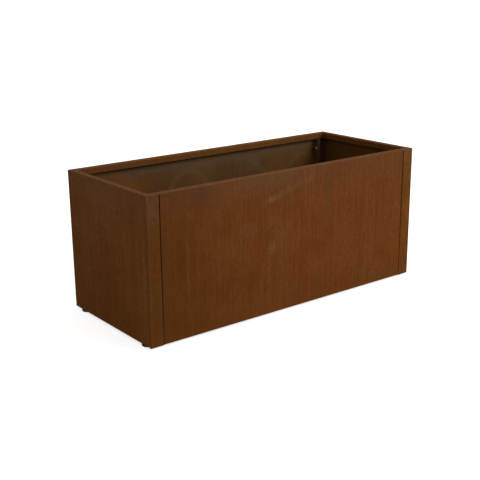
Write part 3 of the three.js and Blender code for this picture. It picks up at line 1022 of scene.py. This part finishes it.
def leftEndPanel():
    leg = longFace - fold["legDepth"]
    wall = prism(foldedSection((-wrapEdge, leg), (-wrapEdge, longFace), (-endFace, longFace),
                               (-endFace, -longFace), (-wrapEdge, -longFace), (-wrapEdge, -leg)),
                 up, foldBottom, foldTop)
    lowerWall = prism(foldedSection((-wrapEdge, longFace), (-endFace, longFace), (-endFace, -longFace),
                                    (-wrapEdge, -longFace)), up, bottom, foldBottom + relief)
    flangeEnd = longFace - outerBend
    lowerWall = cut(lowerWall, [block(-far, -endFace + outerBend, -flangeEnd, flangeEnd, 0, far)])
    flange = prism(foldedSection((-endFace, foldBottom + relief), (-endFace, bottom),
                                 (-endFace + fold["endFlange"], bottom)),
                   across, -flangeEnd + relief, flangeEnd - relief)
    holes = [circle(fold["footHole"] / 2, fold["holeSides"], (-footMiddle.x, side * footMiddle.y))
             for side in sides]
    flange = cut(flange, [prism(hole, up, bottom - relief, bottom + sheet + relief) for hole in holes])
    rim = combine(rimRing(), block(-far, -wrapEdge, -far, far, 0, far), "INTERSECT")
    legs = [(-wrapEdge - sheet / 2, side) for side in sides]
    panel = meetAtSeams(wall, [rim, lowerWall], legs, [(-wrapEdge, side) for side in sides])
    return combine(panel, flange, "UNION")


# the beads between the ends of the end flange and the folds beside them
def cornerWelds():
    start, end = -endFace + outerBend - fold["weldOverrun"], -wrapEdge - fold["weldShort"]
    inset = longFace - (sheet + outerBend + relief) / 2
    middles = [((start + end) / 2, side * inset, bottom + sheet) for side in sides]
    return joined([weldBead(end - start, fold["weldRadius"], fold["weldRipples"], middle)
                   for middle in middles])


# the inner skin of the sheet gets the inside finish
def paintPanel(piece, outside, inside):
    setMaterial(piece, outside)
    piece.data.materials.append(inside)
    skin = 0.75 * sheet
    for face in piece.data.polygons:
        x, y, z = abs(face.center.x), abs(face.center.y), face.center.z
        wall = x > endFace - skin or y > longFace - skin
        level = z > top - skin or z < bottom + skin
        lip = (z > top - fold["lipDepth"] - skin and x < endFace - fold["rimWidth"] + skin
               and y < longFace - fold["rimWidth"] + skin)
        face.material_index = 0 if wall or level or lip else 1


def makePanels():
    for build, outside, places in (
            (frontPanel, longPanelRust, (("front_panel", 0), ("back_panel", math.pi))),
            (leftEndPanel, endPanelRust, (("left_end_panel", 0), ("right_end_panel", math.pi)))):
        panel = build()
        softenEdges(panel, fold["cutRound"])
        if build is leftEndPanel:
            panel = combine(panel, cornerWelds(), "UNION")
            shadeBends(panel)
        paintPanel(panel, outside, insidePanelRust)
        for node, turn in places:
            piece = duplicate(panel, Matrix.Rotation(turn, 4, "Z"))
            finishPiece(piece, node + "_sheet", "box", [node])
        bpy.data.objects.remove(panel)


makePanels()
print("panels folded")


# Trees that repeat a piece. Each joins its copies into one mesh and gives it its finish.

def newShapeTree(name, **inputs):
    return newTree(name, {"Geometry": "Geometry", **inputs, "Finish": "Material"}, {"Geometry": "Geometry"},
                   "GeometryNodeTree")


def copiesOn(tree, points, shape, rotation=(0, 0, 0)):
    return addNode(tree, "GeometryNodeInstanceOnPoints", {
        "Points": points, "Instance": shape, "Rotation": rotation}).outputs[0]


def madeReal(tree, shape):
    return addNode(tree, "GeometryNodeRealizeInstances", {"Geometry": shape}).outputs[0]


def joinedShapes(tree, shapes):
    node = addNode(tree, "GeometryNodeJoinGeometry")
    for shape in shapes:
        feed(tree, node.inputs[0], shape)
    return node.outputs[0]


def placed(tree, shape, **place):
    return addNode(tree, "GeometryNodeTransform", {"Geometry": shape, **place}).outputs[0]


def lineOf(tree, count, start, offset):
    return addNode(tree, "GeometryNodeMeshLine", {
        "Count": count, "Start Location": start, "Offset": offset}).outputs[0]


def gridOf(tree, sizeX, sizeY, countX, countY):
    return addNode(tree, "GeometryNodeMeshGrid", {
        "Size X": sizeX, "Size Y": sizeY, "Vertices X": countX, "Vertices Y": countY}).outputs[0]


def closeTree(tree, shape, given):
    finished = addNode(tree, "GeometryNodeSetMaterial", {
        "Geometry": madeReal(tree, shape), "Material": given["Finish"]})
    return withResult(tree, Geometry=finished.outputs[0])


# one kind of fastener up both seams of an end, each with a turn of its own, and again at the other end
def makeFastenerTree():
    tree, given = newShapeTree("seamFasteners", LegFace=546.6, FromMiddle=232.5, Lowest=73.0,
                               Spacing=185.0, Count=3, Seed=1)
    rows = []
    for side in sides:
        start = pointAt(tree, given["LegFace"], times(tree, given["FromMiddle"], side), given["Lowest"])
        rows.append(lineOf(tree, given["Count"], start, pointAt(tree, z=given["Spacing"])))
    turn = addNode(tree, "FunctionNodeRandomValue", {"Seed": given["Seed"]}, data_type="FLOAT")
    turn.inputs[3].default_value = 2 * math.pi
    oneEnd = copiesOn(tree, joinedShapes(tree, rows), given["Geometry"], pointAt(tree, turn.outputs[1]))
    otherEnd = placed(tree, oneEnd, Rotation=(0, 0, math.pi))
    return closeTree(tree, joinedShapes(tree, (oneEnd, otherEnd)), given)


# rails side by side along the box
def makeRailTree():
    tree, given = newShapeTree("supportRails", First=-500.0, Spacing=333.3, Level=10.3, Count=4)
    start = pointAt(tree, given["First"], 0.0, given["Level"])
    points = lineOf(tree, given["Count"], start, pointAt(tree, given["Spacing"]))
    return closeTree(tree, copiesOn(tree, points, given["Geometry"]), given)


# a copy over each foot
def makeCornerTree():
    tree, given = newShapeTree("overEachFoot", Length=1160.0, Width=400.0, Level=10.3)
    grid = gridOf(tree, given["Length"], given["Width"], 2, 2)
    points = placed(tree, grid, Translation=pointAt(tree, z=given["Level"]))
    return closeTree(tree, copiesOn(tree, points, given["Geometry"]), given)


# drain holes through a plate, two columns by three rows in each bay between rails
def makeDrainTree():
    tree, given = newShapeTree("drainedPlate", Bay=333.3, Pitch=120.0, Hole=12.0, Level=26.6, Drill=6.0,
                               Bays=3, Columns=2, Rows=3, Sides=40)
    start = pointAt(tree, times(tree, given["Bay"], -1.0), 0.0, given["Level"])
    bays = lineOf(tree, given["Bays"], start, pointAt(tree, given["Bay"]))
    width = times(tree, given["Pitch"], minus(tree, given["Rows"], 1.0))
    bay = gridOf(tree, given["Pitch"], width, given["Columns"], given["Rows"])
    drill = addNode(tree, "GeometryNodeMeshCylinder", {
        "Vertices": given["Sides"], "Radius": calc(tree, "DIVIDE", given["Hole"], 2.0),
        "Depth": given["Drill"]}).outputs["Mesh"]
    places = madeReal(tree, copiesOn(tree, bays, bay))
    drills = madeReal(tree, copiesOn(tree, places, drill))
    drilled = addNode(tree, "GeometryNodeMeshBoolean", {"Mesh 1": given["Geometry"], "Mesh 2": drills},
                      operation="DIFFERENCE", solver="MANIFOLD")
    return closeTree(tree, drilled.outputs[0], given)


fastenerTree, railTree, cornerTree, drainTree = (make() for make in (
    makeFastenerTree, makeRailTree, makeCornerTree, makeDrainTree))

seamHardware = {
    "sides": 36,
    "thread": 8,
    "pitch": 1.25,
    "acrossFlats": 13,
    "washerFace": 0.35,  # thin round face under the head
    "washerFaceRadius": 0.47,  # as a part of the width across flats
    "shoulder": 0.3,  # where the shank meets the head
    "neck": 0.1,  # off the shank's radius, under the head
    "neckLength": 0.4,
    "gap": 0.3,  # between the head and the washer
    "washerClearance": 0.3,
    "washerSides": 56,
    "washerRound": 0.25,
    "nutBore": 8.2,
    "nutCountersink": 0.5,
    "seeds": {"bolt": 4, "washer": 1, "nut": 7},
}


# levels along x are measured from the leg's inner face
def seamBolt(look, low, high, underHead):
    washerFace = underHead - look["washerFace"]
    faceRadius = look["washerFaceRadius"] * look["acrossFlats"]
    radius = look["thread"] / 2
    rings = hexEnd(look["acrossFlats"], low, 1)
    rings += [(hexReach(look["acrossFlats"]), washerFace), (faceRadius, washerFace), (faceRadius, underHead)]
    rings += [(radius + look["shoulder"], underHead), (radius - look["neck"], underHead + look["neckLength"])]
    rings += threadRings(look["thread"], look["pitch"], underHead + look["pitch"], high)
    return turned(rings, along, look["sides"])


def hexNut(look, low, high, axis):
    bore, sink = look["nutBore"] / 2, look["nutCountersink"]
    rings = [(bore, low + sink), (bore + sink, low), *hexEnd(look["acrossFlats"], low, 1)]
    rings += hexEnd(look["acrossFlats"], high, -1)[::-1]
    rings += [(bore + sink, high), (bore, high - sink)]
    return turned(rings, axis, look["sides"], looped=True)


def seamWasher(look, low, high, outer):
    inner = look["thread"] / 2 + look["washerClearance"]
    edge = look["washerRound"]
    rings = [(inner, low + edge), (inner + edge, low), (outer - edge, low), (outer, low + edge),
             (outer, high - edge), (outer - edge, high), (inner + edge, high), (inner, high - edge)]
    return turned(rings, along, look["washerSides"], looped=True)


def makeSeamHardware(look):
    legFace = longEdge - sheet
    spans = {}
    for kind in ("bolt", "washer", "nut"):
        low, high = boxOf(f"seam_{kind}_front_right_1")
        spans[kind] = (low.x - legFace, high.x - legFace)
    washerLow, washerHigh = boxOf("seam_washer_front_right_1")
    shapes = {
        "bolt": seamBolt(look, *spans["bolt"], spans["washer"][0] - look["gap"]),
        "washer": seamWasher(look, *spans["washer"], (washerHigh.z - washerLow.z) / 2),
        "nut": hexNut(look, *spans["nut"], along),
    }
    for kind, shape in shapes.items():
        runTree(shape, fastenerTree, LegFace=legFace, FromMiddle=longFace - boltInset,
                Lowest=boltMiddles[0].z, Spacing=boltMiddles[1].z - boltMiddles[0].z,
                Count=len(boltMiddles), Seed=look["seeds"][kind], Finish=zincPlated)
        shadeBends(shape)
        nodes = [f"seam_{kind}_{corner}_{i}" for corner in corners for i in (1, 2, 3)]
        finishPiece(shape, f"seam_{kind}s", "box", nodes)


makeSeamHardware(seamHardware)
print("seams bolted")

floor = {
    "supportTop": 40,
    "supportCount": 4,
    "clearance": 2,
    "keyHoleSides": 56,
    "keyHole": 21.63,  # lets a socket pass over a foot's nut
    "drain": 12,
    "drainPitch": 120,
    "cutRound": 0.2,
}


def supportRail(look, low, high):
    half, brim = look["supportTop"] / 2, (high.x - low.x) / 2
    height = high.z - low.z
    section = foldedSection((-brim, 0), (-half + sheet, 0), (-half + sheet, height - sheet),
                            (half - sheet, height - sheet), (half - sheet, 0), (brim, 0))
    return prism(section, across, low.y, high.y)


def makeRails(look, spacing):
    low, high = boxOf("floor_support_1")
    rails = supportRail(look, low, high)
    runTree(rails, railTree, First=(low.x + high.x) / 2, Spacing=spacing, Level=low.z,
            Count=look["supportCount"], Finish=floorPlateSteel)
    softenEdges(rails, look["cutRound"])
    nodes = [f"floor_support_{i + 1}" for i in range(look["supportCount"])]
    finishPiece(rails, "support_rails", "box", nodes)


# the plate is notched round the panels' corners, and has a key hole over each foot
def makePlate(look, spacing):
    low, high = boxOf("floor_plate")
    plate = block(low.x, high.x, low.y, high.y, low.z, high.z)
    cutX = longEdge - sheet - look["clearance"]
    cutY = longFace - fold["legDepth"] - look["clearance"]
    through = (low.z - relief, high.z + relief)
    tools = []
    for end in sides:
        for side in sides:
            x0, x1 = sorted((end * cutX, end * far))
            y0, y1 = sorted((side * cutY, side * far))
            tools.append(block(x0, x1, y0, y1, *through))
            overFoot = (end * footMiddle.x, side * footMiddle.y)
            tools.append(prism(circle(look["keyHole"] / 2, look["keyHoleSides"], overFoot), up, *through))
    plate = cut(plate, tools)
    runTree(plate, drainTree, Bay=spacing, Pitch=look["drainPitch"], Hole=look["drain"],
            Level=(low.z + high.z) / 2, Finish=floorPlateSteel)
    softenEdges(plate, look["cutRound"])
    finishPiece(plate, "drained_plate", "box", ["floor_plate"])


supportSpacing = middleOf("floor_support_2").x - middleOf("floor_support_1").x
makeRails(floor, supportSpacing)
makePlate(floor, supportSpacing)
print("floor laid")

foot = {
    "sides": 36,
    "acrossFlats": 17,
    "nutBore": 10.3,
    "nutCountersink": 0.6,
    "tacks": 3,
    "tackLength": 8,
    "tackRadius": 1.5,
    "tackRipples": 8,
    "tackLift": 0.2,  # off the flat and off the flange
    "thread": 10,
    "threadStart": 0.5,  # above the pad
    "pitch": 1.5,
    "collar": 14,
    "collarGap": 0.3,  # under the pad's lip
    "shoulder": 0.3,
    "socket": 5,  # across flats of the key socket
    "socketChamfer": 0.55,
    "socketDepth": 6,
    "padSides": 72,
    "padRound": 2,
    "roundSteps": 5,
    "mouth": 11.2,
    "padSocket": 14.6,
    "padBase": 2.2,
    "padLip": 2.3,
    "dimple": 3,  # radius, under the pad
    "grooves": (7.5, 11.5, 15.2),  # radii, under the pad
    "grooveWidth": 1.2,
    "grooveDepth": 0.6,
    "grooveSlope": 0.3,
    "recess": (9, 14),  # radii of the ring sunk in the pad's top
    "recessDepth": 0.5,
    "recessSlope": 0.4,
    "edge": 0.4,
}


def makeWeldNuts(look):
    low, high = boxOf("foot_nut_back_right")
    nut = hexNut(look, 0, high.z - low.z, up)
    place = (0, look["acrossFlats"] / 2 + look["tackLift"], look["tackLift"])
    tacks = [weldBead(look["tackLength"], look["tackRadius"], look["tackRipples"], place)
             for _ in range(look["tacks"])]
    for i, tack in enumerate(tacks):  # on every other flat
        tack.data.transform(Matrix.Rotation(math.radians(120 * i), 4, "Z"))
    nut = joined([nut, *tacks])
    runTree(nut, cornerTree, Length=2 * footMiddle.x, Width=2 * footMiddle.y, Level=low.z,
            Finish=floorPlateSteel)
    shadeBends(nut)
    finishPiece(nut, "weld_nuts", "box", [f"foot_nut_{corner}" for corner in corners])


def footStud(look, low, high, padTop):
    collar, edge, shoulder = look["collar"] / 2, look["edge"], look["shoulder"]
    collarTop = padTop - look["padLip"] - look["collarGap"]
    neck = look["thread"] / 2 - look["pitch"] * thread["depth"]
    rings = [(collar - edge, low), (collar, low + edge)]
    rings += [(collar, collarTop - edge), (collar - edge, collarTop)]
    rings += [(neck + shoulder, collarTop), (neck, collarTop + shoulder), (neck, padTop)]
    rings += threadRings(look["thread"], look["pitch"], padTop + look["threadStart"], high)
    key = hexReach(look["socket"])
    rings += [(look["socket"] / 2 + look["socketChamfer"], high), (key, high - edge)]
    rings += [(key, high - look["socketDepth"])]
    return turned(rings, up, look["sides"])


def quarterRound(look, x, z, start):
    radius = look["padRound"]
    turns = [math.radians(start + 90 * step / look["roundSteps"]) for step in range(look["roundSteps"] + 1)]
    return [(x + radius * math.cos(turn), z + radius * math.sin(turn)) for turn in turns]


# ring by ring, from the dimple underneath, round the rim and into the socket for the stud
def footPad(look, outer, height):
    depth, slope, edge = look["grooveDepth"], look["grooveSlope"], look["edge"]
    rings = [(look["dimple"], depth), (look["dimple"] + slope, 0)]
    for radius in look["grooves"]:
        inner, outward = radius - look["grooveWidth"] / 2, radius + look["grooveWidth"] / 2
        rings += [(inner - slope, 0), (inner, depth), (outward, depth), (outward + slope, 0)]
    inset = outer - look["padRound"]
    rings += quarterRound(look, inset, look["padRound"], -90)
    rings += quarterRound(look, inset, height - look["padRound"], 0)
    inner, outward = look["recess"]
    slope, sunk = look["recessSlope"], height - look["recessDepth"]
    rings += [(outward, height), (outward - slope, sunk), (inner + slope, sunk), (inner, height)]
    mouth, socket, underLip = look["mouth"] / 2, look["padSocket"] / 2, height - look["padLip"]
    rings += [(mouth + edge, height), (mouth, height - edge), (mouth, underLip), (socket, underLip)]
    rings += [(socket, look["padBase"])]
    return turned(rings, up, look["padSides"])


def makeFeet(look):
    padLow, padHigh = boxOf("foot_pad_back_right")
    studLow, studHigh = boxOf("foot_stud_back_right")
    pad = footPad(look, (padHigh.x - padLow.x) / 2, padHigh.z)
    stud = footStud(look, studLow.z, studHigh.z, padHigh.z)
    for shape, kind, material, slotName in ((pad, "pad", padPlastic, "black_plastic"),
                                            (stud, "stud", zincPlated, "zinc_fasteners")):
        setMaterial(shape, material)
        shadeBends(shape)
        for corner in corners:
            node = f"foot_{kind}_{corner}"
            middle = middleOf(node)
            piece = duplicate(shape, Matrix.Translation((middle.x, middle.y, 0)))
            finishPiece(piece, f"{corner}_{kind}_turned", f"{corner}_{kind}", [node])
        bpy.data.objects.remove(shape)


makeWeldNuts(foot)
makeFeet(foot)
print("feet screwed in")
